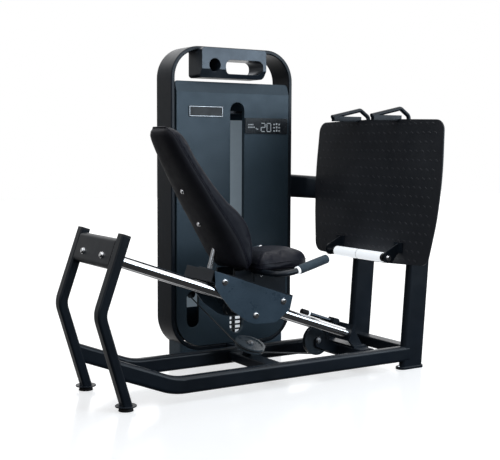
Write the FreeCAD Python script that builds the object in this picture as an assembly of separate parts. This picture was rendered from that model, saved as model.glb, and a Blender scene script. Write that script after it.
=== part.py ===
import FreeCAD, Part
import math
import os

os.makedirs("parts", exist_ok=True)

# Seated leg press machine, millimetres.
# +X runs from the back of the seat to the foot plate, +Y from the seat to the weight tower, +Z is up.

V = FreeCAD.Vector

# ---- driving dimensions ----
CENTRE_X, CENTRE_Y = 750.63, 273.77     # footprint centre, moved to the origin on export

MID = 197.0                  # middle plane of the seat and rails
BASE_HALF = 197.0            # base tube planes either side of MID
FRAME_WALL = 3.0

RAIL_TILT = 19.4             # degrees, falling toward the foot plate
RAIL_HALF = 92.0
RAIL_R = 22.0
RAIL_END = 1262.0            # distance from the rear cross beam centre
BEAM_CENTRE = (-24.0, 595.0)

BASE_TUBE_W, BASE_TUBE_H, BASE_TUBE_Z = 44.0, 72.0, 71.0
POST_X, POST_Y = 40.0, 50.0  # rear post section
FOOT_POST_X, FOOT_POST_Y = 124.0, 40.0
FOOT_POST_FOOT = 1464.0

PLATE_T = 6.0
PLATE_X0, PLATE_Z0 = 1363.0, 530.0     # a point of the foot plate's front face
PLATE_LEAN = 4.0

TOWER_X = 882.0
TOWER_HALF = 340.5
TOWER_Y0, TOWER_Y1 = 640.0, 790.0
TOWER_Z0, TOWER_Z1 = 50.0, 1500.0
TOWER_T = 20.0
TOWER_R_LOW, TOWER_R_HIGH = 165.0, 150.0
COVER_FRONT, COVER_BACK = 634.0, 658.0
COVER_HALF = 316.0
COVER_Z0, COVER_Z1 = 74.0, 1336.0
STACK_X, STACK_Y = 898.0, 715.0

WHEEL_R = 65.0               # cable radius on the two large pulleys
LOWER_R = 26.0               # cable radius on the lower tower pulley
SMALL_R = 45.0               # cable radius on the two top pulleys
CABLE_R = 3.0
CABLE_RISE = 20.0            # degrees, idler to tower
CABLE_FALL = 7.5             # degrees, idler to front pulley

PLATES, PLATE_PITCH, PLATE_THICK = 16, 22.0, 21.4
SELECTED = 4                 # plates hanging on the selector stem below the top plate
STACK_FOOT = 112.0

TC, TS = math.cos(math.radians(RAIL_TILT)), math.sin(math.radians(RAIL_TILT))
LC, LS = math.cos(math.radians(PLATE_LEAN)), math.sin(math.radians(PLATE_LEAN))
YAX = V(0, 1, 0)
RAIL_DIR = V(TC, 0, -TS)
RAIL_UP = V(TS, 0, TC)


# ---- helpers ----
def save(node, *solids):
    shape = solids[0] if len(solids) == 1 else Part.makeCompound(list(solids))
    shape = shape.copy()
    shape.translate(V(-CENTRE_X, -CENTRE_Y, 0))
    shape.exportStep("parts/" + node + ".step")


def box(x0, x1, y0, y1, z0, z1):
    return Part.makeBox(x1 - x0, y1 - y0, z1 - z0, V(x0, y0, z0))


def rod(a, b, r, hole=0.0):
    axis = b - a
    body = Part.makeCylinder(r, axis.Length, a, axis)
    if hole:
        body = body.cut(Part.makeCylinder(hole, axis.Length, a, axis))
    return body


def mirror(shape):
    # the same piece on the other side of the seat's middle plane
    return shape.mirror(V(0, MID, 0), YAX)


def round_loop(points, place):
    # closed wire through (a, b, radius) corners, each corner rounded
    n = len(points)
    flat = [V(p[0], p[1], 0) for p in points]
    cuts = []
    for i, here in enumerate(flat):
        before = (flat[i - 1] - here).normalize()
        after = (flat[(i + 1) % n] - here).normalize()
        half = before.getAngle(after) / 2.0
        reach = points[i][2] / math.tan(half) if points[i][2] else 0.0
        start = here + before * reach
        end = here + after * reach
        bisect = (before + after).normalize()
        mid = here + bisect * (points[i][2] / math.sin(half) - points[i][2]) if points[i][2] else here
        cuts.append((start, mid, end))
    edges = []
    for i, (start, mid, end) in enumerate(cuts):
        if points[i][2]:
            edges.append(Part.Arc(place(start), place(mid), place(end)).toShape())
        follow = cuts[(i + 1) % n][0]
        if (follow - end).Length > 1e-6:
            edges.append(Part.LineSegment(place(end), place(follow)).toShape())
    return Part.Wire(edges)


def slab_xz(points, y0, y1):
    # plate standing in the XZ plane from y0 to y1, points are (x, z, radius)
    wire = round_loop(points, lambda p: V(p.x, y0, p.y))
    return Part.Face(wire).extrude(V(0, y1 - y0, 0))


def slab_xy(points, z0, z1):
    wire = round_loop(points, lambda p: V(p.x, p.y, z0))
    return Part.Face(wire).extrude(V(0, 0, z1 - z0))


def rail_point(s, h, y=MID):
    return V(BEAM_CENTRE[0] + s * TC + h * TS, y, BEAM_CENTRE[1] - s * TS + h * TC)


def slab_rail(points, y0, y1):
    # plate standing along the rails, points are (distance, height, radius)
    wire = round_loop(points, lambda p: rail_point(p.x, p.y, y0))
    return Part.Face(wire).extrude(V(0, y1 - y0, 0))


def block_rail(s0, s1, h0, h1, y0, y1):
    return slab_rail([(s0, h0, 0), (s1, h0, 0), (s1, h1, 0), (s0, h1, 0)], y0, y1)


def path_wire(points, radii):
    # open path with rounded corners, returns the wire
    edges = []
    last = points[0]
    for i in range(1, len(points) - 1):
        here = points[i]
        before = (points[i - 1] - here).normalize()
        after = (points[i + 1] - here).normalize()
        half = before.getAngle(after) / 2.0
        reach = radii[i - 1] / math.tan(half)
        start = here + before * reach
        end = here + after * reach
        middle = here + (before + after).normalize() * (radii[i - 1] / math.sin(half) - radii[i - 1])
        edges.append(Part.LineSegment(last, start).toShape())
        edges.append(Part.Arc(start, middle, end).toShape())
        last = end
    edges.append(Part.LineSegment(last, points[-1]).toShape())
    return Part.Wire(edges)


def sweep_section(points, radii, side, wide, deep, corner):
    # solid bar: 'deep' lies along 'side', 'wide' lies across it in the bend plane
    wire = path_wire(points, radii)
    along = (points[1] - points[0]).normalize()
    across = side.cross(along)
    at = points[0]
    loop = [(-wide / 2, -deep / 2, corner), (wide / 2, -deep / 2, corner),
            (wide / 2, deep / 2, corner), (-wide / 2, deep / 2, corner)]
    section = round_loop(loop, lambda p: at + across * p.x + side * p.y)
    return wire.makePipeShell([section], True, True)


def sweep_tube(points, radii, side, wide, deep, corner, wall=FRAME_WALL):
    outer = sweep_section(points, radii, side, wide, deep, corner)
    inner = sweep_section(points, radii, side, wide - 2 * wall, deep - 2 * wall, max(corner - wall, 1.0))
    return outer.cut(inner)


def round_bar(points, radii, r):
    wire = path_wire(points, radii)
    along = points[1] - points[0]
    circle = Part.Wire(Part.makeCircle(r, points[0], along))
    return wire.makePipeShell([circle], True, True)


def bolt_head(at, axis, r=11.0, height=7.0):
    # domed cap on a thin washer, pointing along 'axis'
    washer = Part.makeCylinder(r + 3.0, 2.0, at, axis)
    cap = Part.makeCylinder(r, height, at + axis * 2.0, axis)
    rim = [e for e in cap.Edges if abs(e.CenterOfMass.distanceToPoint(at + axis * (2.0 + height))) < 0.5]
    return washer.fuse(cap.makeFillet(height * 0.45, rim))


def biggest(shape):
    return max(shape.Solids, key=lambda solid: solid.Volume)


# ---- base frame ----
post_foot_z, knee_x, knee_z, post_top_z = 22.0, -108.0, 383.0, 682.0
post_top_x = knee_x + (post_top_z - knee_z) * TS / TC
near_y = MID - BASE_HALF


def rear_post(y, hollow):
    points = [V(6, y, 2), V(knee_x, y, knee_z), V(post_top_x, y, post_top_z)]
    make = sweep_tube if hollow else sweep_section
    post = make(points, [90.0], YAX, POST_X, POST_Y, 9.0)
    return post.cut(box(-60, 60, y - 60, y + 60, -40, post_foot_z))


def base_tube(y, hollow):
    points = [V(-50, y, 172), V(212, y, BASE_TUBE_Z), V(1440, y, BASE_TUBE_Z)]
    make = sweep_tube if hollow else sweep_section
    return make(points, [260.0], YAX, BASE_TUBE_H, BASE_TUBE_W, 16.0)


def foot_post(y, hollow):
    foot = V(FOOT_POST_FOOT - 30 * LS / LC, y, -18)
    top = V(FOOT_POST_FOOT + 1090 * LS / LC, y, 1102)
    make = sweep_tube if hollow else sweep_section
    post = make([foot, top], [], YAX, FOOT_POST_X, FOOT_POST_Y, 18.0)
    return post.cut(box(1300, 1700, y - 60, y + 60, -100, 12))


post_solid = rear_post(near_y, False)
foot_post_solid = foot_post(near_y, False)
tube_right = biggest(base_tube(near_y, True).cut(post_solid).cut(foot_post_solid))
save("base_tubes", tube_right, mirror(tube_right))
post_right = rear_post(near_y, True)
save("rear_posts", post_right, mirror(post_right))

cap_at = V(post_top_x, near_y, post_top_z)
cap_loop = [(-20, -25, 9), (20, -25, 9), (20, 25, 9), (-20, 25, 9)]
cap_wire = round_loop(cap_loop, lambda p: cap_at + RAIL_DIR * p.x + YAX * p.y)
cap = Part.Face(cap_wire).extrude(RAIL_UP * 8)
cap = cap.makeFillet(3.0, [e for e in cap.Edges if (e.CenterOfMass - cap_at).dot(RAIL_UP) > 7.5])
save("rear_post_caps", cap, mirror(cap))

beam_loop = [(-28, -47, 19), (20, -47, 19), (20, 78, 19), (-28, 78, 19)]
beam_inner = [(-25, -44, 16), (17, -44, 16), (17, 75, 16), (-25, 75, 16)]
beam_len = 2 * BASE_HALF - POST_Y
beam_at = near_y + POST_Y / 2
beam = slab_rail(beam_loop, beam_at, beam_at + beam_len).cut(
    slab_rail(beam_inner, beam_at, beam_at + beam_len))
rail_bolts = []
for y in (MID - RAIL_HALF, MID + RAIL_HALF):
    beam = beam.cut(rod(rail_point(-34, 0, y), rail_point(30, 0, y), 7.0))
    shank = rod(rail_point(-28, 0, y), rail_point(44, 0, y), 7.0)
    rail_bolts.append(shank.fuse(bolt_head(rail_point(-28, 0, y), RAIL_DIR * -1, 11.0, 7.0)))
save("rear_cross_beam", beam)
save("rail_end_bolts", *rail_bolts)

foot_flanges = []
pads = []
for y in (near_y, near_y + 2 * BASE_HALF):
    flange = Part.makeCylinder(43.0, 5.0, V(0, y, 17))
    foot_flanges.append(flange.makeFillet(1.5, flange.Edges))
    pad = Part.makeCone(30.0, 27.0, 17.0, V(0, y, 0))
    pads.append(pad)
save("rear_foot_pads", *pads)

front_post = foot_post(near_y, True)
save("foot_posts", front_post, mirror(front_post))
foot_loop = [(1385, near_y - 28, 26), (1532, near_y - 28, 26),
             (1532, near_y + 28, 26), (1385, near_y + 28, 26)]
front_foot = slab_xy(foot_loop, 0, 12)
front_foot = front_foot.makeFillet(3.0, [e for e in front_foot.Edges if e.CenterOfMass.z > 11.5])
save("floor_flanges", *foot_flanges, front_foot, mirror(front_foot))


def cross_tube(x0, x1, z0, z1, y0, y1):
    # rectangular tube lying across the machine
    loop = [(x0, z0, 6), (x1, z0, 6), (x1, z1, 6), (x0, z1, 6)]
    hole = [(x0 + 3, z0 + 3, 3), (x1 - 3, z0 + 3, 3), (x1 - 3, z1 - 3, 3), (x0 + 3, z1 - 3, 3)]
    return slab_xz(loop, y0, y1).cut(slab_xz(hole, y0, y1))


inner_y = near_y + BASE_TUBE_W / 2
outer_y = near_y + 2 * BASE_HALF - BASE_TUBE_W / 2
front_cross = cross_tube(1440, 1500, 52, 102, near_y + 20, near_y + 2 * BASE_HALF - 20)
rail_mount_cross = cross_tube(1182, 1262, 52, 108, inner_y, outer_y)
middle_cross = cross_tube(700, 776, 48, 92, inner_y, outer_y)
tower_link = cross_tube(TOWER_X - 40, TOWER_X + 40, 36, 72, outer_y + BASE_TUBE_W, TOWER_Y0)
save("cross_tubes", front_cross, rail_mount_cross, middle_cross, tower_link)

# ---- guide rails ----
rails = []
for y in (MID - RAIL_HALF, MID + RAIL_HALF):
    bar = rod(rail_point(20, 0, y), rail_point(RAIL_END, 0, y), RAIL_R)
    rails.append(bar.cut(rod(rail_point(20, 0, y), rail_point(44, 0, y), 7.0)))
save("guide_rails", *rails)

end_plate = slab_rail([(RAIL_END, -34, 0), (RAIL_END + 12, -34, 0), (RAIL_END + 12, 44, 0),
                       (RAIL_END, 44, 0)], MID - 124, MID + 124)
gusset_side = [(RAIL_END + 12, 40, 0), (RAIL_END + 12, -30, 0)]
gusset_points = [rail_point(s, h) for s, h, _ in gusset_side]
mount_top = 108.0
gusset_loop = [(gusset_points[0].x, gusset_points[0].z, 0), (gusset_points[1].x, gusset_points[1].z, 0),
               (1200, mount_top, 0), (1252, mount_top, 0)]
gussets = [slab_xz(gusset_loop, MID + side - 6, MID + side + 6) for side in (-100, 100)]
foot_plate_bar = box(1186, 1258, MID - 124, MID + 124, mount_top, mount_top + 8)
rail_mount = end_plate.fuse(gussets + [foot_plate_bar])

# ---- stop buffer ----
buffer_h = 36.0
buffer_rod = rod(rail_point(1092, buffer_h), rail_point(1246, buffer_h), 9.0)
buffer_ring = rod(rail_point(1084, buffer_h), rail_point(1092, buffer_h), 14.0)
buffer_tip = rod(rail_point(1046, buffer_h), rail_point(1084, buffer_h), 13.0)
buffer_tip = buffer_tip.makeFillet(5.0, [e for e in buffer_tip.Edges
                                         if e.CenterOfMass.distanceToPoint(rail_point(1046, buffer_h)) < 0.5])
save("stop_buffer_rod", buffer_rod.fuse(buffer_ring))
save("stop_buffer_tip", buffer_tip)
block = slab_rail([(1226, 24, 0), (RAIL_END, 24, 0), (RAIL_END, 44, 0), (1254, 54, 4), (1226, 54, 4)],
                  MID - 22, MID + 22)
block = block.cut(rod(rail_point(1220, buffer_h), rail_point(1246, buffer_h), 9.0))
rail_bracket = rail_mount.fuse(block)


# ---- cable route ----
def unit(v):
    return V(v.x, v.y, v.z).normalize()


fall, rise = math.radians(CABLE_FALL), math.radians(CABLE_RISE)
run_in = V(-math.cos(fall), 0, math.sin(fall))
run_out = V(0, math.cos(rise), math.sin(rise))
to_in = unit(run_out - run_in * run_out.dot(run_in))
to_out = unit(run_out * run_in.dot(run_out) - run_in)
idler = V(736, MID + WHEEL_R * to_in.y, 139)
idler_axis = unit(run_in.cross(run_out))
meet_in = idler - to_in * WHEEL_R
meet_out = idler - to_out * WHEEL_R
meet_mid = idler - unit(to_in + to_out) * WHEEL_R
front_low = meet_in - run_in * 322.0
front_up = V(math.sin(fall), 0, math.cos(fall))
front_wheel = front_low + front_up * WHEEL_R
front_high = front_wheel + RAIL_UP * WHEEL_R
front_far = front_wheel + unit(RAIL_UP - front_up + V(1.2, 0, 0)) * WHEEL_R
cable_x = meet_out.x
lower_wheel = V(cable_x, STACK_Y - LOWER_R, 0)
lower_reach = (lower_wheel.y + LOWER_R * math.sin(rise) - meet_out.y) / run_out.y
lower_touch = meet_out + run_out * lower_reach
lower_wheel.z = lower_touch.z + LOWER_R * math.cos(rise)
lower_leave = V(cable_x, STACK_Y, lower_wheel.z)
lower_mid = lower_wheel + unit(V(0, 1, 0) + V(0, math.sin(rise), -math.cos(rise))) * LOWER_R
top_z = 1262.0
wheel_a = V(cable_x + SMALL_R, STACK_Y, top_z)
wheel_b = V(STACK_X - SMALL_R, STACK_Y, top_z)
top_a = V(wheel_a.x, STACK_Y, top_z + SMALL_R)
top_b = V(wheel_b.x, STACK_Y, top_z + SMALL_R)
corner = SMALL_R * math.sqrt(0.5)

anchor_s = 893.0
anchor = front_high - RAIL_DIR * ((front_high - rail_point(anchor_s, 0)).dot(RAIL_DIR))
stack_top = STACK_FOOT + PLATES * PLATE_PITCH + 26.0
cable_end = V(STACK_X, STACK_Y, stack_top + 60.0)


def cable(edges):
    wire = Part.Wire(edges)
    start = edges[0].valueAt(edges[0].FirstParameter)
    along = edges[0].tangentAt(edges[0].FirstParameter)
    return wire.makePipeShell([Part.Wire(Part.makeCircle(CABLE_R, start, along))], True, False)


def seg(a, b):
    return Part.LineSegment(a, b).toShape()


def arc(a, m, b):
    return Part.Arc(a, m, b).toShape()


save("cable_carriage_span", rod(anchor, front_high, CABLE_R))
save("cable_fixed_span", cable([
    arc(front_high, front_far, front_low), seg(front_low, meet_in), arc(meet_in, meet_mid, meet_out),
    seg(meet_out, lower_touch), arc(lower_touch, lower_mid, lower_leave),
    seg(lower_leave, V(cable_x, STACK_Y, top_z)),
    arc(V(cable_x, STACK_Y, top_z), wheel_a + V(-corner, 0, corner), top_a), seg(top_a, top_b),
    arc(top_b, wheel_b + V(corner, 0, corner), V(STACK_X, STACK_Y, top_z))]))
save("cable_stack_span", rod(cable_end, V(STACK_X, STACK_Y, top_z), CABLE_R))


def pulley(at, axis, cable_radius, bore, half=11.0):
    # grooved wheel on a plain bore; the groove holds the cable
    rim = cable_radius + 4.5
    wheel = Part.makeCylinder(rim, 2 * half, at - axis * half, axis)
    groove = Part.makeTorus(cable_radius + 1.6, 5.0, at, axis)
    wheel = wheel.cut(groove).cut(Part.makeCylinder(bore, 2 * half, at - axis * half, axis))
    for side in (-1, 1):
        # shallow dish in each face
        a = at + axis * (side * half)
        dish = Part.makeCylinder(cable_radius - 9.0, 4.0, a - axis * (4.0 if side > 0 else 0.0), axis)
        hub = Part.makeCylinder(bore + 9.0, 4.0, a - axis * (4.0 if side > 0 else 0.0), axis)
        wheel = wheel.cut(dish.cut(hub))
    return wheel


save("front_pulley", pulley(front_wheel, YAX, WHEEL_R, 8.05))
save("idler_pulley", pulley(idler, idler_axis, WHEEL_R, 8.05))
save("tower_lower_pulley", pulley(lower_wheel, V(1, 0, 0), LOWER_R, 6.05, 9.0))
save("tower_top_pulley_a", pulley(wheel_a, YAX, SMALL_R, 6.05, 9.0))
save("tower_top_pulley_b", pulley(wheel_b, YAX, SMALL_R, 6.05, 9.0))

# front pulley carrier: two cheeks welded to the rail mount tube
cheek_loop = [(front_wheel.x - 24, front_wheel.z - 24, 20), (1182, 56, 0), (1182, 104, 0),
              (front_wheel.x + 4, front_wheel.z + 26, 20)]
cheek = slab_xz(cheek_loop, MID - 19, MID - 13).cut(
    rod(V(front_wheel.x, MID - 30, front_wheel.z), V(front_wheel.x, MID + 30, front_wheel.z), 8.0))
axle = rod(V(front_wheel.x, MID - 19, front_wheel.z), V(front_wheel.x, MID + 19, front_wheel.z), 8.0)
head = bolt_head(V(front_wheel.x, MID - 19, front_wheel.z), V(0, -1, 0), 11.0, 7.0)
front_bolt = axle.fuse([head, mirror(head)])

# idler carrier: a pillar on the middle cross tube carrying a tilted spindle
spindle_foot = idler - idler_axis * (34.0 if idler_axis.z > 0 else -34.0)
spindle_up = idler_axis if idler_axis.z > 0 else idler_axis * -1
table = Part.makeCylinder(26.0, 8.0, spindle_foot + spindle_up * 12.0, spindle_up)
pillar = Part.makeCylinder(20.0, 60.0, spindle_foot + spindle_up * 12.0, spindle_up * -1)
middle_solid = box(690, 790, inner_y, outer_y, 0, 92)
idler_post = table.fuse(pillar).cut(middle_solid)
idler_post = biggest(idler_post)
spindle = Part.makeCylinder(8.0, 30.0, idler - spindle_up * 14.0, spindle_up)
spindle = spindle.fuse(bolt_head(idler + spindle_up * 11.3, spindle_up, 12.0, 7.0))
save("rail_and_pulley_brackets", rail_bracket, cheek, mirror(cheek), idler_post)

# ---- weight tower ----
def tower_loop(inset, y0, y1):
    # outline of the tower ring, moved inward by 'inset'
    low, high = TOWER_R_LOW - inset, TOWER_R_HIGH - inset
    x0, x1 = TOWER_X - TOWER_HALF + inset, TOWER_X + TOWER_HALF - inset
    z0, z1 = TOWER_Z0 + inset, TOWER_Z1 - inset
    return slab_xz([(x0, z0, low), (x1, z0, low), (x1, z1, high), (x0, z1, high)], y0, y1)


loop_solid = tower_loop(0.0, TOWER_Y0, TOWER_Y1)
ring_solid = loop_solid.cut(tower_loop(TOWER_T, TOWER_Y0, TOWER_Y1))
tower_ring = ring_solid.makeFillet(5.0, [e for e in ring_solid.Edges
                                         if min(abs(e.BoundBox.YMin - y) + abs(e.BoundBox.YMax - y)
                                                for y in (TOWER_Y0, TOWER_Y1)) < 0.1])
ring_core = tower_loop(3.0, TOWER_Y0 + 5, TOWER_Y1 - 5)
ring_core = ring_core.cut(tower_loop(TOWER_T - 3, TOWER_Y0 + 5, TOWER_Y1 - 5))
save("tower_frame", tower_ring.cut(ring_core))

base_x0, base_x1 = TOWER_X - 286, TOWER_X + 298
base_cover = box(base_x0, base_x1, TOWER_Y0 + 2, TOWER_Y1 - 2, 0, 112)
base_cover = base_cover.makeFillet(22.0, [e for e in base_cover.Edges if e.Length < 113 and
                                          e.BoundBox.ZLength > 100])
base_hollow = box(base_x0 + 4, base_x1 - 4, TOWER_Y0 + 6, TOWER_Y1 - 6, 4, 112)
base_hollow = base_hollow.makeFillet(18.0, [e for e in base_hollow.Edges if e.BoundBox.ZLength > 100])
base_hollow = base_hollow.cut(tower_loop(-4.0, TOWER_Y0, TOWER_Y1))
save("tower_base_cover", biggest(base_cover.cut(loop_solid).cut(base_hollow)))


# front cover: a shallow pan set inside the ring, with a bevelled top, a selector slot and a cable opening
def cover_loop(inset, y0, y1, top):
    x0, x1 = TOWER_X - COVER_HALF + inset, TOWER_X + COVER_HALF - inset
    low, high = 141.0 - inset, 14.0 - inset
    bottom = COVER_Z0 + inset
    return slab_xz([(x0, bottom, low), (x1, bottom, low), (x1, top, high), (x0, top, high)], y0, y1)


def slot_loop(grow, y0, y1):
    x0, x1 = STACK_X - 40 - grow, STACK_X + 40 + grow
    z0, z1, r = 118 - grow, 1242 + grow, 39.5 + grow
    return slab_xz([(x0, z0, r), (x1, z0, r), (x1, z1, r), (x0, z1, r)], y0, y1)


pan = cover_loop(0.0, COVER_FRONT, COVER_BACK, COVER_Z1)
bevel = Part.makePolygon([V(0, COVER_FRONT - 1, COVER_Z1 - 55), V(0, COVER_FRONT - 1, COVER_Z1 + 1),
                          V(0, COVER_BACK - 5, COVER_Z1 + 1), V(0, COVER_FRONT - 1, COVER_Z1 - 55)])
bevel = Part.Face(bevel).extrude(V(2000, 0, 0))
pan = pan.cut(bevel).cut(cover_loop(3.0, COVER_FRONT + 3, COVER_BACK, COVER_Z1 - 62))
pan = pan.cut(slot_loop(0.0, COVER_FRONT - 1, COVER_BACK))
cable_slot = [(619, 168, 32.5), (685, 168, 32.5), (685, 342, 32.5), (619, 342, 32.5)]
pan = pan.cut(slab_xz(cable_slot, COVER_FRONT - 1, COVER_BACK))
lip = slot_loop(3.0, COVER_FRONT, COVER_BACK - 2).cut(slot_loop(0.0, COVER_FRONT - 1, COVER_BACK))
inner_half = TOWER_HALF - TOWER_T
tabs = [box(TOWER_X - inner_half, TOWER_X - COVER_HALF + 2, COVER_BACK - 3, COVER_BACK, 300, 1250),
        box(TOWER_X + COVER_HALF - 2, TOWER_X + inner_half, COVER_BACK - 3, COVER_BACK, 300, 1250)]
save("front_cover", pan.fuse([lip] + tabs))

rear_face = cover_loop(0.0, TOWER_Y1, TOWER_Y1 + 22, COVER_Z1)
rear_inside = cover_loop(3.0, TOWER_Y1, TOWER_Y1 + 19, COVER_Z1 - 3)
rear_tabs = [box(TOWER_X - inner_half - 8, TOWER_X - COVER_HALF + 2, TOWER_Y1, TOWER_Y1 + 3, 300, 1250),
             box(TOWER_X + COVER_HALF - 2, TOWER_X + inner_half + 8, TOWER_Y1, TOWER_Y1 + 3, 300, 1250)]
lining = box(TOWER_X - inner_half, TOWER_X + inner_half, 782, 785, 240, 1160)
save("rear_cover", rear_face.cut(rear_inside).fuse(rear_tabs), lining)

save("name_plate", slab_xz([(631, 1169, 4), (817, 1169, 4), (817, 1221, 4), (631, 1221, 4)],
                           COVER_FRONT - 3, COVER_FRONT))
save("display_panel", slab_xz([(941, 1093, 5), (1189, 1093, 5), (1189, 1169, 5), (941, 1169, 5)],
                              COVER_FRONT - 5, COVER_FRONT))

tray = box(682, 1040, 598, 728, 1354, 1492)
tray = tray.makeFillet(16.0, [e for e in tray.Edges if e.BoundBox.YLength > 100])
tray_bevel = Part.Face(Part.makePolygon([V(600, 597, 1394), V(600, 628, 1353), V(600, 597, 1353),
                                         V(600, 597, 1394)])).extrude(V(500, 0, 0))
tray = tray.cut(tray_bevel).cut(ring_solid)
tray = tray.cut(slab_xz([(812, 1374, 30), (1022, 1374, 30), (1022, 1440, 30), (812, 1440, 30)], 590, 750))
tray = tray.cut(rod(V(752, 590, 1412), V(752, 700, 1412), 31.0))
save("accessory_tray", biggest(tray))

# top plate of the tower, guide rods and pulley hangers
cross_z0, cross_z1 = 1190.0, 1202.0
rod_x = (STACK_X - 100.0, STACK_X + 100.0)
crossbar = box(TOWER_X - inner_half, TOWER_X + inner_half, 684, 746, cross_z0, cross_z1)
for x in rod_x:
    crossbar = crossbar.cut(rod(V(x, STACK_Y, cross_z0), V(x, STACK_Y, cross_z1), 12.5))
for x in (cable_x, STACK_X):
    crossbar = crossbar.cut(rod(V(x, STACK_Y, cross_z0), V(x, STACK_Y, cross_z1), 9.0))
rod_z0 = TOWER_Z0 + TOWER_T
save("guide_rods", *[rod(V(x, STACK_Y, rod_z0), V(x, STACK_Y, cross_z1 + 6), 12.5) for x in rod_x])
save("stack_cushions", *[rod(V(x, STACK_Y, TOWER_Z0 + TOWER_T), V(x, STACK_Y, STACK_FOOT - 0.3), 24.0, 12.8)
                         for x in rod_x])
hangers = []
hanger_bolts = []
for wheel in (wheel_a, wheel_b):
    for y in (STACK_Y - 17, STACK_Y + 12):
        cheek_top = slab_xz([(wheel.x - 16, cross_z1, 0), (wheel.x + 16, cross_z1, 0),
                             (wheel.x + 16, top_z + 16, 14),
                             (wheel.x - 16, top_z + 16, 14)], y, y + 5)
        hangers.append(cheek_top.cut(rod(V(wheel.x, y, top_z), V(wheel.x, y + 5, top_z), 6.0)))
    pin = rod(V(wheel.x, STACK_Y - 17, top_z), V(wheel.x, STACK_Y + 17, top_z), 6.0)
    pin = pin.fuse([rod(V(wheel.x, STACK_Y - 22, top_z), V(wheel.x, STACK_Y - 17, top_z), 9.0),
                    rod(V(wheel.x, STACK_Y + 17, top_z), V(wheel.x, STACK_Y + 22, top_z), 9.0)])
    hanger_bolts.append(pin)
crossbar = crossbar.fuse(hangers)
save("pulley_pins", front_bolt, spindle, *hanger_bolts)
arm_x0 = TOWER_X - inner_half
wheel_y, wheel_z = lower_wheel.y, lower_wheel.z
arm = box(arm_x0, cable_x - 15, wheel_y - 16, wheel_y + 16, wheel_z - 16, wheel_z + 16)
spigot = rod(V(cable_x - 15, wheel_y, wheel_z), V(cable_x + 12, wheel_y, wheel_z), 6.0)
collar = rod(V(cable_x + 10, wheel_y, wheel_z), V(cable_x + 16, wheel_y, wheel_z), 10.0)
save("tower_brackets", crossbar, arm.fuse([spigot, collar]))

# ---- weight stack ----
plate_half_x, plate_y0, plate_y1 = 150.0, STACK_Y - 55.0, STACK_Y + 55.0
STEM_R = 12.0


def weight_plate(z0, z1):
    body = box(STACK_X - plate_half_x, STACK_X + plate_half_x, plate_y0, plate_y1, z0, z1)
    body = body.makeFillet(8.0, [e for e in body.Edges if e.BoundBox.ZLength > 5])
    for x in rod_x:
        body = body.cut(rod(V(x, STACK_Y, z0), V(x, STACK_Y, z1), 12.8))
    body = body.cut(rod(V(STACK_X, STACK_Y, z0), V(STACK_X, STACK_Y, z1), STEM_R + 0.3))
    pin_z = z0 + 10.7
    return body.cut(rod(V(STACK_X, plate_y0 - 1, pin_z), V(STACK_X, STACK_Y, pin_z), 5.0))


def stack_range(first, last):
    return [weight_plate(STACK_FOOT + i * PLATE_PITCH, STACK_FOOT + i * PLATE_PITCH + PLATE_THICK)
            for i in range(first, last)]


save("weight_plates_lower", *stack_range(0, PLATES - SELECTED))
save("weight_plates_selected", *stack_range(PLATES - SELECTED, PLATES))
top_z0 = STACK_FOOT + PLATES * PLATE_PITCH
top_plate = box(STACK_X - plate_half_x, STACK_X + plate_half_x, plate_y0, plate_y1, top_z0, top_z0 + 26)
top_plate = top_plate.makeFillet(8.0, [e for e in top_plate.Edges if e.BoundBox.ZLength > 20])
for x in rod_x:
    top_plate = top_plate.cut(rod(V(x, STACK_Y, top_z0), V(x, STACK_Y, top_z0 + 26), 12.8))
top_plate = top_plate.cut(rod(V(STACK_X, STACK_Y, top_z0), V(STACK_X, STACK_Y, top_z0 + 26), STEM_R))
save("top_weight_plate", top_plate)
pin_level = STACK_FOOT + (PLATES - SELECTED) * PLATE_PITCH + 10.7
stem = rod(V(STACK_X, STACK_Y, STACK_FOOT + 4), V(STACK_X, STACK_Y, top_z0 + 26), STEM_R)
stem = stem.fuse([rod(V(STACK_X, STACK_Y, top_z0 + 26), V(STACK_X, STACK_Y, top_z0 + 40), 22.0),
                  rod(V(STACK_X, STACK_Y, top_z0 + 40), cable_end, 9.0)])
stem = stem.cut(rod(V(STACK_X, STACK_Y - 20, pin_level), V(STACK_X, STACK_Y + 4, pin_level), 4.95))
save("selector_stem", stem)
pin = rod(V(STACK_X, plate_y0 - 8, pin_level), V(STACK_X, STACK_Y + 3, pin_level), 4.9)
knob = rod(V(STACK_X, plate_y0 - 44, pin_level), V(STACK_X, plate_y0 - 8, pin_level), 12.0)
knob = knob.makeFillet(4.0, [e for e in knob.Edges if abs(e.CenterOfMass.y - (plate_y0 - 44)) < 0.5])
save("selector_pin", pin.fuse(knob))

# ---- beam from the tower to the foot posts ----
beam_z = 808.0
post_back = FOOT_POST_FOOT + (beam_z - 12) * LS / LC + FOOT_POST_X / 2 / LC
run_x = post_back + 20.0 / LC
corner_pt = V(run_x, STACK_Y, beam_z)
start_pt = V(TOWER_X + TOWER_HALF, STACK_Y, beam_z)
link = sweep_tube([V(start_pt.x - 30, STACK_Y, beam_z), corner_pt, V(run_x, near_y + 15, beam_z)], [140.0],
                  V(0, 0, 1), 40.0, 116.0, 18.0)
link.rotate(corner_pt, V(0, 1, 0), PLATE_LEAN)
save("tower_to_plate_beam", biggest(link.cut(loop_solid)))

# ---- foot plate ----
def plate_point(y, z, off):
    # point on the foot plate's front face, 'off' is the distance behind it
    base_x = PLATE_X0 + (z - PLATE_Z0) * LS / LC
    return V(base_x + off * LC, y, z - off * LS)


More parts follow.
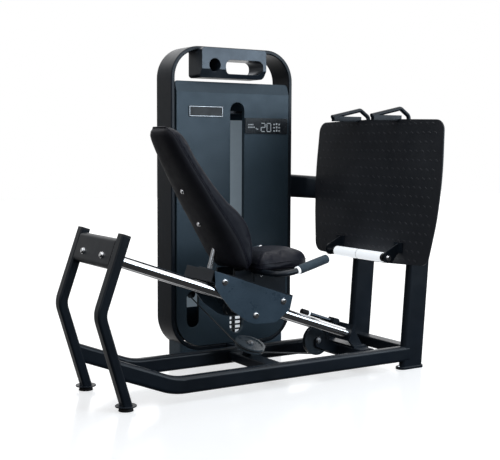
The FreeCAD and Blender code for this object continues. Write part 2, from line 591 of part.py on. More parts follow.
plate_half = [(-452, 1152, 52), (-465, 900, 1500), (-447, 700, 900), (-407, 506, 52), (0, 487, 4000),
              (420, 506, 55), (447, 700, 900), (463, 900, 1500), (452, 1152, 52), (0, 1163, 6000)]
plate_wire = round_loop([(MID + a, b, r) for a, b, r in plate_half], lambda p: plate_point(p.x, p.y, 0))
foot_plate = Part.Face(plate_wire).extrude(V(LC, 0, -LS) * PLATE_T)
save("foot_plate", foot_plate)


def plate_block(y0, y1, z0, z1, off0, off1, r=0.0):
    corners = [(y0, z0, r), (y1, z0, r), (y1, z1, r), (y0, z1, r)]
    wire = round_loop(corners, lambda p: plate_point(p.x, p.y, off0))
    return Part.Face(wire).extrude(V(LC, 0, -LS) * (off1 - off0))


gap = (FOOT_POST_FOOT + (530 - 12) * LS / LC - FOOT_POST_X / 2 / LC - PLATE_X0) * LC
standoffs = []
for z in (640.0, 1020.0):
    bar = plate_block(MID - 330, MID + 330, z, z + 60, PLATE_T, gap)
    hollow = plate_block(MID - 330, MID + 330, z + 3, z + 57, PLATE_T + 3, gap - 3)
    standoffs.append(bar.cut(hollow))

hook_half = 147.0
hook_y = MID - hook_half
hook = round_bar([V(1250, hook_y, 1172), V(1421, hook_y, 1208), V(1472, hook_y, 1174),
                  V(1472, hook_y, 1102)], [16.0, 22.0], 10.0)
hook_bar = box(1256, 1420, MID - hook_half - 11, MID - hook_half + 11, 1152, 1176)
behind = Part.Face(plate_wire).extrude(V(LC, 0, -LS) * 200)
hook_bar = biggest(hook_bar.cut(behind))
hook = biggest(hook.cut(hook_bar).cut(foot_plate))
save("plate_top_hooks", hook, hook_bar, mirror(hook), mirror(hook_bar))
hook_stub = plate_block(MID - hook_half - 14, MID - hook_half + 14, 1080, 1104, 40, gap).cut(
    box(1300, 1600, -500, 900, 1102, 1200))
hook_stub = biggest(hook_stub)
save("plate_standoffs", *standoffs, hook_stub, mirror(hook_stub))

# ---- calf roller under the plate ----
roll_x, roll_z, roll_y0, roll_y1 = 1300.0, 528.0, 15.0, 359.0
save("foot_roller", rod(V(roll_x, roll_y0, roll_z), V(roll_x, roll_y1, roll_z), 23.0, 8.05))
cap_ring = [rod(V(roll_x, y0, roll_z), V(roll_x, y0 + 14, roll_z), 19.0, 8.05)
            for y0 in (roll_y0 - 14.3, roll_y1 + 0.3)]
save("foot_roller_caps", *cap_ring)
arm_y = -24.0
roll_arm = slab_xz([(roll_x - 23, roll_z - 23, 22), (roll_x + 23, roll_z - 23, 22), (1350, 540, 8),
                    (plate_point(0, 548, 0).x, 548, 0), (plate_point(0, 596, 0).x, 596, 0),
                    (roll_x - 23, roll_z + 23, 22)],
                   arm_y, arm_y + 10)
roll_arm = roll_arm.cut(rod(V(roll_x, arm_y, roll_z), V(roll_x, arm_y + 10, roll_z), 8.0))
roll_tab = plate_block(arm_y - 24, arm_y + 34, 548, 596, -8, 0)
roll_arm = roll_arm.fuse(roll_tab)
save("foot_roller_brackets", roll_arm, mirror(roll_arm))
axle = rod(V(roll_x, arm_y, roll_z), V(roll_x, 2 * MID - arm_y, roll_z), 8.0)
ends = bolt_head(V(roll_x, arm_y, roll_z), V(0, -1, 0), 11.0, 7.0)
save("foot_roller_axle", axle.fuse([ends, mirror(ends)]))

# ---- sliding carriage ----
side_y = MID - 122.0
side_loop = [(470, 79, 4), (890, 79, 4), (895, 22, 18), (842, -50, 40), (722, -90, 120), (604, -56, 120),
             (500, 8, 60)]
axle_at = [(534.0, 47.0), (850.0, 47.0), (732.0, -47.0)]
side_plate = slab_rail(side_loop, side_y, side_y + 5)
for s, h in axle_at:
    side_plate = side_plate.cut(rod(rail_point(s, h, side_y), rail_point(s, h, side_y + 5), 8.0))
save("carriage_plates", side_plate, mirror(side_plate))

axles = []
for s, h in axle_at:
    pin = rod(rail_point(s, h, side_y), rail_point(s, h, side_y + 50), 8.0)
    spacer = rod(rail_point(s, h, side_y + 5), rail_point(s, h, side_y + 12.7), 12.0)
    nut = rod(rail_point(s, h, side_y + 47.5), rail_point(s, h, side_y + 53), 12.0)
    pin = pin.fuse([spacer, nut, bolt_head(rail_point(s, h, side_y), V(0, -1, 0), 11.0, 6.0)])
    axles += [pin, mirror(pin)]
save("roller_axles", *axles)
names = ("rear", "front", "lower")
for (s, h), name in zip(axle_at, names):
    at = rail_point(s, h, MID - RAIL_HALF)
    roller = rod(at - YAX * 17, at + YAX * 17, 31.0, 8.05)
    groove = Part.makeTorus(47.0, RAIL_R + 0.3, at, YAX)
    roller = roller.cut(groove)
    save(name + "_rollers", roller, mirror(roller))

inner_side = side_y + 5
rear_bar = block_rail(470, 501, 30, 79, inner_side, 2 * MID - inner_side)
rear_bar = rear_bar.cut(block_rail(473, 498, 33, 76, inner_side, 2 * MID - inner_side))
mid_bar = block_rail(680, 724, 36, 79, inner_side, 2 * MID - inner_side)
mid_bar = mid_bar.cut(block_rail(683, 721, 39, 76, inner_side, 2 * MID - inner_side))
front_bar = block_rail(885, 893, -14, 79, MID - RAIL_HALF + RAIL_R + 6, MID + RAIL_HALF - RAIL_R - 6)
front_ears = block_rail(885, 893, 50, 79, inner_side, 2 * MID - inner_side)
deck = block_rail(560, 890, 79, 85, side_y, 2 * MID - side_y)
eye = Part.makeCylinder(10.0, 8.0, anchor, RAIL_DIR)
eye = eye.cut(rod(anchor, anchor + RAIL_DIR * 8, CABLE_R))
carriage_frame = [rear_bar, mid_bar, front_bar.fuse(front_ears), deck, eye]


def deck_top(x):
    # height of the deck's upper face above the floor
    return BEAM_CENTRE[1] - (x - BEAM_CENTRE[0]) * TS / TC + 85.0 / TC


# ---- seat ----
PAD_HALF = 150.0
pan_z = 498.0
panel_loop = [(664, deck_top(664), 0), (826, deck_top(826), 0), (826, pan_z - 8, 0), (664, pan_z - 8, 0)]
HANDLE_R = 12.5
cross_x, cross_z = 672.0, 496.0        # handle bar where it passes under the seat
bar_room = rod(V(cross_x, MID - 200, cross_z), V(cross_x, MID + 200, cross_z), HANDLE_R)
panels = [slab_xz(panel_loop, MID + a, MID + a + 6).cut(bar_room) for a in (-86.0, 80.0)]
pan_loop = [(688, MID - 128, 20), (938, MID - 128, 110), (938, MID + 128, 110), (688, MID + 128, 20)]
seat_pan = slab_xy(pan_loop, pan_z - 8, pan_z)
pad_loop = [(652, MID - PAD_HALF, 24), (957, MID - PAD_HALF, 132), (957, MID + PAD_HALF, 132),
            (652, MID + PAD_HALF, 24)]
seat = slab_xy(pad_loop, pan_z, 576)
wedge = Part.Face(Part.makePolygon([V(640, 0, 562), V(970, 0, 576), V(970, 0, 600), V(640, 0, 600),
                                    V(640, 0, 562)])).extrude(V(0, 500, 0))
seat = seat.cut(wedge)
seat = seat.makeFillet(26.0, [e for e in seat.Edges if e.CenterOfMass.z > 555])
save("seat_pad", seat.cut(bar_room))

# ---- handles ----
handle_y = MID - 257.0


def handle_point(x, y):
    # axis of the sloping grips
    return V(x, y, 508.0 + (x - 768.0) * 0.272)


handle = round_bar([handle_point(918, handle_y), handle_point(750, handle_y), V(cross_x, handle_y, cross_z),
                    V(cross_x, 2 * MID - handle_y, cross_z), handle_point(750, 2 * MID - handle_y),
                    handle_point(918, 2 * MID - handle_y)], [120.0, 42.0, 42.0, 120.0], HANDLE_R)
save("handle_bar", handle)
grip_start, grip_end = handle_point(778, handle_y), handle_point(926, handle_y)
grip = rod(grip_start, grip_end, 19.0).cut(rod(grip_start, handle_point(918, handle_y), HANDLE_R))
grip = grip.makeFillet(4.0, [e for e in grip.Edges if e.CenterOfMass.distanceToPoint(grip_end) < 0.5])
save("handle_grips", grip, mirror(grip))
ring = rod(handle_point(768, handle_y), grip_start, 17.0, HANDLE_R)
save("grip_collars", ring, mirror(ring))

# ---- backrest ----
rear_line = [(222, 1086), (300, 948), (360, 841), (439, 701), (518, 560), (556, 500)]
seam_line = [(250, 1104), (333, 974), (378, 897), (440, 802), (510, 713), (562, 635), (596, 571), (622, 500)]
front_line = [(292, 1112), (340, 1041), (404, 925), (510, 804), (557, 763), (595, 729), (618, 696),
              (636, 650), (643, 590), (643, 536), (630, 504)]


def curve(points, y):
    spline = Part.BSplineCurve()
    spline.interpolate([V(x, y, z) for x, z in points])
    return spline.toShape()


def between(line_a, line_b, y0, y1):
    # solid between two profile curves, running across the seat
    a = curve(line_a, y0)
    b = curve(line_b, y0)
    top = seg(V(line_a[0][0], y0, line_a[0][1]), V(line_b[0][0], y0, line_b[0][1]))
    low = seg(V(line_a[-1][0], y0, line_a[-1][1]), V(line_b[-1][0], y0, line_b[-1][1]))
    wire = Part.Wire(Part.__sortEdges__([a, top, b, low]))
    return Part.Face(wire).extrude(V(0, y1 - y0, 0))


back_half = 130.0
outline_x = -200.0
outline = round_loop([(MID - back_half, 480, 0), (MID + back_half, 480, 0), (MID + back_half, 880, 300),
                      (MID + 88, 1125, 40), (MID - 88, 1125, 40), (MID - back_half, 880, 300)],
                     lambda p: V(outline_x, p.x, p.y))
outline_solid = Part.Face(outline).extrude(V(1200, 0, 0))
shell = between(rear_line, seam_line, MID - back_half, MID + back_half).common(outline_solid)
pad = between(seam_line, front_line, MID - back_half, MID + back_half).common(outline_solid)
save("backrest_shell", biggest(shell))
save("backrest_pad", biggest(pad))
bolts = []
for x, z in ((360.0, 841.0), (439.0, 701.0)):
    normal = V(-0.872, 0, -0.489)
    at = V(x, MID, z) + normal * 0.3
    bolts.append(bolt_head(at, normal, 8.0, 6.0))
save("backrest_bolts", *bolts)
mount_loop = [(572, deck_top(572), 0), (652, deck_top(652), 0), (652, 498, 0), (620, 500, 0), (572, 500, 0)]
mounts = []
for a in (-80.0, 70.0):
    mounts.append(slab_xz(mount_loop, MID + a, MID + a + 10))
save("seat_frame", seat_pan, *panels, *mounts)
brace_foot = rail_point(507, 82, MID - 14)
brace = rod(brace_foot, brace_foot + V(40, 0, 140), 11.0)
brace = min(brace.cut(biggest(shell)).Solids, key=lambda s: s.BoundBox.ZMin)
brace_foot_plate = block_rail(476, 524, 79, 85, MID - 52, MID + 24)
brace = brace.cut(block_rail(480, 530, 70, 85, MID - 60, MID + 60)).fuse(brace_foot_plate)

# ---- start position lever ----
pivot = V(812, MID + 122, 0)
pivot.z = deck_top(812) + 22
lug = slab_xz([(792, deck_top(792) + 0.0, 0), (832, deck_top(832) + 0.0, 0), (826, pivot.z + 14, 10),
               (798, pivot.z + 14, 10)], MID + 108, MID + 116)
lug = lug.cut(rod(V(812, MID + 108, pivot.z), V(812, MID + 116, pivot.z), 6.05))
save("carriage_frame", *carriage_frame, brace, lug)
knob_at = V(859, MID + 171, 560)
lever_path = [V(812, MID + 116.3, pivot.z), V(812, MID + 171, pivot.z), knob_at - V(0, 0, 12)]
lever = round_bar(lever_path, [14.0], 6.0)
stub = rod(V(812, MID + 106, pivot.z), V(812, MID + 118, pivot.z), 6.0)
clip = rod(V(812, MID + 102, pivot.z), V(812, MID + 107.7, pivot.z), 9.0)
save("start_lever", lever.fuse([stub, clip, Part.makeSphere(17.0, knob_at)]))
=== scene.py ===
import math

import bmesh
import bpy
from mathutils import Matrix, Vector
from mathutils.bvhtree import BVHTree


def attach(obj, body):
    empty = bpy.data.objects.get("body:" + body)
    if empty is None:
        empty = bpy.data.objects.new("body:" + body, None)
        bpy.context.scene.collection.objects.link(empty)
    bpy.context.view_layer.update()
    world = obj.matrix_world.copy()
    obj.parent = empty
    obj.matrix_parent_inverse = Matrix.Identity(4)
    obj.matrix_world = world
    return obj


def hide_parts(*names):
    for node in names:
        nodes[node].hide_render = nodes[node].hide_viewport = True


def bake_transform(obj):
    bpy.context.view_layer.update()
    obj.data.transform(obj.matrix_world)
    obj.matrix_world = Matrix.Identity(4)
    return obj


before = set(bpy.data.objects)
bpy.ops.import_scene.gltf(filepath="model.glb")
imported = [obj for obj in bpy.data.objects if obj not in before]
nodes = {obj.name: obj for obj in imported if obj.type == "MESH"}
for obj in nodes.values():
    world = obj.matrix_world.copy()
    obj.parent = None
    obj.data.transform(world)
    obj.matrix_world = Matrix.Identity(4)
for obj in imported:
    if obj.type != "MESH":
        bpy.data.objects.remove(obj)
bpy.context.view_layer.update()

# The CAD's drawing origin, in this frame's metres: drawing X, Y, Z in millimetres -> at().
ORIGIN = Vector((-0.75063, -0.27377, 0.0))
TILT = math.radians(19.4)


def at(x, y, z):
    return Vector((x / 1000, y / 1000, z / 1000)) + ORIGIN


# ---------------------------------------------------------------- camera
def make_camera():
    data = bpy.data.cameras.new("camera")
    data.sensor_fit = "HORIZONTAL"
    data.sensor_width = 36.0
    data.lens = 71.395
    data.clip_end = 60.0
    cam = bpy.data.objects.new("camera", data)
    bpy.context.scene.collection.objects.link(cam)
    yaw, pitch, roll = math.radians(32.44), math.radians(4.81), math.radians(0.253)
    ahead = Vector((math.sin(yaw) * math.cos(pitch), math.cos(yaw) * math.cos(pitch), -math.sin(pitch)))
    right = Vector((math.cos(yaw), -math.sin(yaw), 0))
    up = right.cross(ahead)
    turned = right * math.cos(roll) + up * math.sin(roll)
    up = up * math.cos(roll) - right * math.sin(roll)
    spin = Matrix((turned, up, -ahead)).transposed()
    cam.matrix_world = Matrix.Translation(CAMERA_AT) @ spin.to_4x4()
    bpy.context.scene.camera = cam


CAMERA_AT = at(-1632.0, -3465.0, 1030.0)
make_camera()


# ---------------------------------------------------------------- material helpers
def new_nodes(name):
    mat = bpy.data.materials.new(name)
    mat.use_nodes = True
    tree = mat.node_tree
    shader = tree.nodes["Principled BSDF"]
    coords = tree.nodes.new("ShaderNodeTexCoord")
    return mat, tree, shader, coords


def noise(tree, coords, scale, detail=4.0, rough=0.55, stretch=None):
    node = tree.nodes.new("ShaderNodeTexNoise")
    node.inputs["Scale"].default_value = scale
    node.inputs["Detail"].default_value = detail
    node.inputs["Roughness"].default_value = rough
    if stretch:
        mapping = tree.nodes.new("ShaderNodeMapping")
        mapping.inputs["Scale"].default_value = stretch
        tree.links.new(coords.outputs["Object"], mapping.inputs["Vector"])
        tree.links.new(mapping.outputs["Vector"], node.inputs["Vector"])
    else:
        tree.links.new(coords.outputs["Object"], node.inputs["Vector"])
    return node.outputs["Fac"]


def remap(tree, value, low, high, out_low, out_high):
    node = tree.nodes.new("ShaderNodeMapRange")
    node.inputs["From Min"].default_value = low
    node.inputs["From Max"].default_value = high
    node.inputs["To Min"].default_value = out_low
    node.inputs["To Max"].default_value = out_high
    tree.links.new(value, node.inputs["Value"])
    return node.outputs["Result"]


def mix(tree, factor, a, b):
    node = tree.nodes.new("ShaderNodeMix")
    node.data_type = "RGBA"
    tree.links.new(factor, node.inputs["Factor"])
    for socket, value in ((node.inputs["A"], a), (node.inputs["B"], b)):
        if isinstance(value, (tuple, list)):
            socket.default_value = (*value[:3], 1.0)
        else:
            tree.links.new(value, socket)
    return node.outputs["Result"]


def bump(tree, shader, height, strength, distance, before=None):
    node = tree.nodes.new("ShaderNodeBump")
    node.inputs["Strength"].default_value = strength
    node.inputs["Distance"].default_value = distance
    tree.links.new(height, node.inputs["Height"])
    if before:
        tree.links.new(before, node.inputs["Normal"])
    tree.links.new(node.outputs["Normal"], shader.inputs["Normal"])
    return node.outputs["Normal"]


def soft_edges(tree, radius):
    # rounds the look of sharp folded edges by a millimetre or two
    node = tree.nodes.new("ShaderNodeBevel")
    node.samples = 4
    node.inputs["Radius"].default_value = radius
    return node.outputs["Normal"]


def paint(name, dark, light, rough=(0.3, 0.42), peel=0.05, edge=0.0015, metallic=0.0, coat=0.0, spec=0.5,
          flake=0.0):
    """Sprayed enamel: slow colour drift, fine orange peel, uneven gloss, faint metallic flake."""
    mat, tree, shader, coords = new_nodes(name)
    drift = remap(tree, noise(tree, coords, 3.0, 3.0), 0.32, 0.68, 0.0, 1.0)
    colour = mix(tree, drift, dark, light)
    if flake:
        cells = tree.nodes.new("ShaderNodeTexVoronoi")
        cells.inputs["Scale"].default_value = 900.0
        tree.links.new(coords.outputs["Object"], cells.inputs["Vector"])
        glint = remap(tree, cells.outputs["Color"], 0.5, 1.0, 0.0, flake)
        colour = mix(tree, glint, colour, tuple(min(1.0, c * 3.0 + 0.02) for c in light))
    tree.links.new(colour, shader.inputs["Base Color"])
    gloss = remap(tree, noise(tree, coords, 14.0, 5.0, 0.65), 0.35, 0.7, rough[0], rough[1])
    tree.links.new(gloss, shader.inputs["Roughness"])
    shader.inputs["Metallic"].default_value = metallic
    shader.inputs["Specular IOR Level"].default_value = spec
    shader.inputs["Coat Weight"].default_value = coat
    shader.inputs["Coat Roughness"].default_value = 0.12
    rounded = soft_edges(tree, edge) if edge else None
    bump(tree, shader, noise(tree, coords, 420.0, 2.0, 0.4), peel, 0.0004, rounded)
    return mat


def metal(name, dark, light, rough=(0.08, 0.2), brush=None, edge=0.0008):
    """Bare or plated metal: fine scratches along one direction, handling smears in the gloss."""
    mat, tree, shader, coords = new_nodes(name)
    drift = remap(tree, noise(tree, coords, 9.0, 4.0), 0.3, 0.7, 0.0, 1.0)
    tree.links.new(mix(tree, drift, dark, light), shader.inputs["Base Color"])
    shader.inputs["Metallic"].default_value = 1.0
    smear = remap(tree, noise(tree, coords, 30.0, 6.0, 0.7), 0.35, 0.75, rough[0], rough[1])
    tree.links.new(smear, shader.inputs["Roughness"])
    rounded = soft_edges(tree, edge) if edge else None
    lines = noise(tree, coords, 60.0, 3.0, 0.5, brush or (1.0, 1.0, 1.0))
    bump(tree, shader, lines, 0.06, 0.0003, rounded)
    return mat


def moulding(name, dark, light, rough=(0.42, 0.6), grain=260.0, depth=0.12, edge=0.001, spec=0.5):
    """Moulded plastic or rubber: spark-eroded grain and dull scuffs."""
    mat, tree, shader, coords = new_nodes(name)
    drift = remap(tree, noise(tree, coords, 7.0, 5.0), 0.35, 0.68, 0.0, 1.0)
    tree.links.new(mix(tree, drift, dark, light), shader.inputs["Base Color"])
    gloss = remap(tree, noise(tree, coords, 22.0, 6.0, 0.7), 0.35, 0.72, rough[0], rough[1])
    tree.links.new(gloss, shader.inputs["Roughness"])
    shader.inputs["Specular IOR Level"].default_value = spec
    rounded = soft_edges(tree, edge) if edge else None
    bump(tree, shader, noise(tree, coords, grain, 3.0, 0.6), depth, 0.0006, rounded)
    return mat


def vinyl(name, dark, light):
    """Upholstery vinyl: pebbled leather grain of two sizes, soft sheen, painted shade darkening the grain's
    hollows.
    """
    mat, tree, shader, coords = new_nodes(name)
    drift = remap(tree, noise(tree, coords, 5.0, 5.0, 0.6), 0.3, 0.7, 0.0, 1.0)
    pebble = tree.nodes.new("ShaderNodeTexVoronoi")
    pebble.feature = "DISTANCE_TO_EDGE"
    pebble.inputs["Scale"].default_value = 260.0
    tree.links.new(coords.outputs["Object"], pebble.inputs["Vector"])
    ridge = remap(tree, pebble.outputs["Distance"], 0.0, 0.35, 0.0, 1.0)
    colour = mix(tree, drift, dark, light)
    # painted shade: the hollows between the pebbles are darkened in the colour
    shaded = mix(tree, remap(tree, ridge, 0.0, 1.0, 0.0, 0.6), tuple(c * 0.6 for c in dark), colour)
    tree.links.new(shaded, shader.inputs["Base Color"])
    gloss = remap(tree, noise(tree, coords, 40.0, 4.0, 0.6), 0.3, 0.7, 0.38, 0.55)
    tree.links.new(gloss, shader.inputs["Roughness"])
    shader.inputs["Sheen Weight"].default_value = 0.04
    shader.inputs["Sheen Roughness"].default_value = 0.45
    shader.inputs["Specular IOR Level"].default_value = 0.16
    first = bump(tree, shader, ridge, 0.22, 0.0006)
    bump(tree, shader, noise(tree, coords, 45.0, 4.0, 0.6), 0.08, 0.0012, first)
    return mat


def foam(name, dark, light):
    """Closed-cell foam sleeve: open pores and a chalky surface."""
    mat, tree, shader, coords = new_nodes(name)
    pores = tree.nodes.new("ShaderNodeTexVoronoi")
    pores.inputs["Scale"].default_value = 480.0
    tree.links.new(coords.outputs["Object"], pores.inputs["Vector"])
    pit = remap(tree, pores.outputs["Distance"], 0.05, 0.5, 0.0, 1.0)
    drift = remap(tree, noise(tree, coords, 18.0, 5.0, 0.65), 0.3, 0.7, 0.0, 1.0)
    colour = mix(tree, drift, dark, light)
    # painted shade: the pores are darkened in the colour
    tree.links.new(mix(tree, pit, tuple(c * 0.45 for c in dark), colour), shader.inputs["Base Color"])
    rough = remap(tree, noise(tree, coords, 60.0, 3.0), 0.3, 0.7, 0.7, 0.9)
    tree.links.new(rough, shader.inputs["Roughness"])
    shader.inputs["Sheen Weight"].default_value = 0.2
    first = bump(tree, shader, pit, 0.5, 0.0006)
    bump(tree, shader, noise(tree, coords, 90.0, 4.0), 0.2, 0.0008, first)
    return mat


M = {
    "frame": paint("frame_paint", (0.0082, 0.0118, 0.0170), (0.0130, 0.0190, 0.0280),
                   rough=(0.30, 0.42), coat=0.05, spec=0.22),
    "cover": paint("cover_paint", (0.026, 0.044, 0.060), (0.038, 0.060, 0.080),
                   rough=(0.36, 0.46), peel=0.03, metallic=0.2, coat=0.05, spec=0.28, flake=0.25, edge=0.003),
    # a lighter copy of the cover paint: painted light, so the base cover, which lies in shadow, reads as
    # brightly lit
    "foot": paint("base_cover_painted_light", (0.055, 0.085, 0.115), (0.080, 0.120, 0.155),
                  rough=(0.3, 0.42), peel=0.04, metallic=0.2, coat=0.2, spec=0.4, flake=0.3, edge=0.003),
    "side": paint("side_paint", (0.044, 0.072, 0.102), (0.066, 0.102, 0.140),
                  rough=(0.26, 0.38), peel=0.04, metallic=0.3, coat=0.2, spec=0.4, flake=0.3),
    "tray": paint("tray_paint", (0.024, 0.034, 0.048), (0.036, 0.050, 0.068),
                  rough=(0.3, 0.42), peel=0.03, metallic=0.3, coat=0.2, flake=0.3, edge=0.004),
    "tread": paint("tread_paint", (0.026, 0.028, 0.034), (0.042, 0.045, 0.053),
                   rough=(0.34, 0.5), peel=0.12, spec=0.3),
    "iron": paint("iron_paint", (0.018, 0.019, 0.022), (0.035, 0.036, 0.040), rough=(0.45, 0.62), peel=0.4),
    "chrome": metal("rail_chrome", (0.74, 0.75, 0.78), (0.88, 0.89, 0.91),
                    rough=(0.10, 0.19), brush=(0.3, 14.0, 14.0)),
    "bolt": metal("bolt_chrome", (0.78, 0.79, 0.81), (0.9, 0.9, 0.92), rough=(0.10, 0.2)),
    "steel": metal("turned_steel", (0.38, 0.39, 0.41), (0.58, 0.59, 0.61),
                   rough=(0.22, 0.36), brush=(1.0, 1.0, 12.0)),
    "bluing": metal("blued_steel", (0.05, 0.06, 0.075), (0.10, 0.115, 0.135),
                    rough=(0.18, 0.3), brush=(1.0, 1.0, 12.0)),
    "rubber": moulding("black_rubber", (0.006, 0.006, 0.007), (0.014, 0.014, 0.016),
                       rough=(0.6, 0.8), depth=0.25, spec=0.3),
    "cap": moulding("cap_plastic", (0.008, 0.009, 0.011), (0.016, 0.017, 0.020), rough=(0.38, 0.55), spec=0.35),
    "shell": moulding("back_shell", (0.0140, 0.0140, 0.0180), (0.0210, 0.0210, 0.0270),
                      rough=(0.5, 0.66), depth=0.14, spec=0.12),
    "pulley": moulding("pulley_nylon", (0.014, 0.020, 0.027), (0.026, 0.036, 0.046),
                       rough=(0.3, 0.48), spec=0.4),
    "disc": moulding("idler_nylon", (0.060, 0.080, 0.100), (0.110, 0.140, 0.165), rough=(0.22, 0.4)),
    "sleeve": moulding("silver_sleeve_painted_glow", (0.80, 0.81, 0.82), (0.90, 0.91, 0.92),
                       rough=(0.25, 0.36), grain=120.0, depth=0.05),
    "panel": moulding("dark_panel", (0.006, 0.008, 0.011), (0.012, 0.015, 0.020),
                      rough=(0.22, 0.32), depth=0.03, spec=0.3),
    "plaque": moulding("dark_plaque", (0.010, 0.010, 0.012), (0.020, 0.020, 0.022),
                       rough=(0.3, 0.45), depth=0.05, spec=0.3),
    "cable": moulding("cable_nylon", (0.010, 0.010, 0.011), (0.020, 0.020, 0.022),
                      rough=(0.3, 0.42), depth=0.05, edge=0),
    "vinyl": vinyl("navy_vinyl", (0.0110, 0.0118, 0.0210), (0.0170, 0.0180, 0.0320)),
    "welt": vinyl("welt_vinyl", (0.012, 0.012, 0.022), (0.022, 0.022, 0.038)),
    # the raised lozenges are painted lighter than the plate around them
    "lozenge": paint("lighter_lozenge_paint", (0.030, 0.033, 0.040), (0.060, 0.064, 0.074),
                     rough=(0.3, 0.5), peel=0.2, edge=0, metallic=0.4),
    "glow": moulding("display_white", (0.62, 0.64, 0.66), (0.80, 0.82, 0.84),
                     rough=(0.3, 0.45), depth=0.02, edge=0),
    "label": moulding("label_white_painted_glow", (0.80, 0.82, 0.83), (0.90, 0.91, 0.92),
                      rough=(0.4, 0.55), depth=0.04, edge=0),
    # pale colour and, further down, a glow: painted light for the lit inside of the tower seen through the
    # selector slot
    "lining": moulding("pale_lining_painted_glow", (0.42, 0.50, 0.56), (0.54, 0.62, 0.68),
                       rough=(0.35, 0.5), grain=120.0, depth=0.05, edge=0),
    "foam": foam("grip_foam", (0.040, 0.064, 0.086), (0.068, 0.102, 0.130)),
}
# painted glow: the labels, the lining and the pale sleeve emit a little light of their own so they look lit,
# though none of them is a lamp
for key, painted_glow, strength in (("label", (0.9, 0.95, 1.0, 1.0), 0.45), ("lining", (0.42, 0.52, 0.60, 1.0), 0.22),
                            ("sleeve", (0.92, 0.96, 1.0, 1.0), 0.75)):
    shader = M[key].node_tree.nodes["Principled BSDF"]
    shader.inputs["Emission Color"].default_value = painted_glow
    shader.inputs["Emission Strength"].default_value = strength

FINISH = {
    "frame": ["base_tubes", "rear_posts", "rear_cross_beam", "foot_posts", "cross_tubes", "floor_flanges",
              "rail_and_pulley_brackets", "carriage_frame", "seat_frame", "handle_bar",
              "plate_standoffs", "plate_top_hooks", "foot_roller_brackets",
              "tower_frame", "tower_brackets", "tower_to_plate_beam"],
    "cover": ["front_cover", "rear_cover"],
    "foot": ["tower_base_cover"],
    "side": ["carriage_plates"],
    "tray": ["accessory_tray"],
    "tread": ["foot_plate"],
    "iron": ["weight_plates_lower", "weight_plates_selected", "top_weight_plate"],
    "chrome": ["guide_rails", "guide_rods", "start_lever"],
    "bolt": ["backrest_bolts", "rail_end_bolts", "roller_axles", "foot_roller_axle"],
    "steel": ["pulley_pins", "selector_pin", "selector_stem"],
    "bluing": ["stop_buffer_rod"],
    "rubber": ["rear_foot_pads", "stack_cushions", "stop_buffer_tip"],
    "cap": ["rear_post_caps", "foot_roller_caps"],
    "shell": ["backrest_shell"],
    "disc": ["idler_pulley"],
    "pulley": ["front_pulley", "tower_lower_pulley", "tower_top_pulley_a", "tower_top_pulley_b",
               "rear_rollers", "front_rollers", "lower_rollers"],
    "sleeve": ["foot_roller", "grip_collars"],
    "panel": ["display_panel"],
    "plaque": ["name_plate"],
    "cable": ["cable_carriage_span", "cable_fixed_span", "cable_stack_span"],
    "vinyl": ["seat_pad", "backrest_pad"],
    "foam": ["handle_grips"],
}
for key, names in FINISH.items():
    for name in names:
        data = nodes[name].data
        data.materials.clear()
        data.materials.append(M[key])


def refinish(node, mat, chosen):
    """Give the faces of a CAD node whose centres pass 'chosen' another finish."""
    data = nodes[node].data
    data.materials.append(mat)
    last = len(data.materials) - 1
    for poly in data.polygons:
        centre = Vector()
        for index in poly.vertices:
            centre += data.vertices[index].co
        if chosen(centre / len(poly.vertices)):
            poly.material_index = last


def rail_point(s, h):
    """Middle-plane point: s along the rails from the rear cross beam's centre, h above them."""
    return at(-24 + s * math.cos(TILT) + h * math.sin(TILT), 197, 595 - s * math.sin(TILT) + h * math.cos(TILT))


# the lining behind the selector slot (pale and glowing: painted light for the lit inside of the tower), the
# buffer's white ring (glowing a little: painted light) and the brace behind the backrest
refinish("rear_cover", M["lining"], lambda c: c.y < at(0, 787, 0).y)
buffer_ring = rail_point(1086, 36)
refinish("stop_buffer_rod", M["sleeve"], lambda c: (c - buffer_ring).length < 0.0165)
brace_low = at(480, 150, 512)
refinish("carriage_frame", M["steel"], lambda c: c.z > brace_low.z + 0.004 and c.x > brace_low.x - 0.02)


# ---------------------------------------------------------------- mesh helpers
def curve_at(points, t):
    """Catmull-Rom point at t (0 to 1) along a list of (a, b) pairs."""
    n = len(points) - 1
    k = min(int(t * n), n - 1)
    f = t * n - k
    get = lambda i: points[max(0, min(n, i))]
    p0, p1, p2, p3 = get(k - 1), get(k), get(k + 1), get(k + 2)
    return tuple(0.5 * (2 * b + (c - a) * f + (2 * a - 5 * b + 4 * c - d) * f * f
                        + (3 * b - a - 3 * c + d) * f ** 3)
                 for a, b, c, d in zip(p0, p1, p2, p3))


def rounded_outline(corners, steps=10):
    """Closed outline through (a, b, radius) corners, each corner turned into an arc of short chords."""
    out = []
    n = len(corners)
    for i, (a, b, r) in enumerate(corners):
        here = Vector((a, b))
        back = (Vector(corners[i - 1][:2]) - here).normalized()
        ahead = (Vector(corners[(i + 1) % n][:2]) - here).normalized()
        if r <= 0:
            out.append(here)
            continue
        half = back.angle(ahead) / 2
        middle = here + (back + ahead).normalized() * (r / math.sin(half))
        start = here + back * (r / math.tan(half)) - middle
        end = here + ahead * (r / math.tan(half)) - middle
        turn = start.angle_signed(end)
        for k in range(steps + 1):
            spin = -turn * k / steps
            out.append(middle + Vector((start.x * math.cos(spin) - start.y * math.sin(spin),
                                        start.x * math.sin(spin) + start.y * math.cos(spin))))
    return out


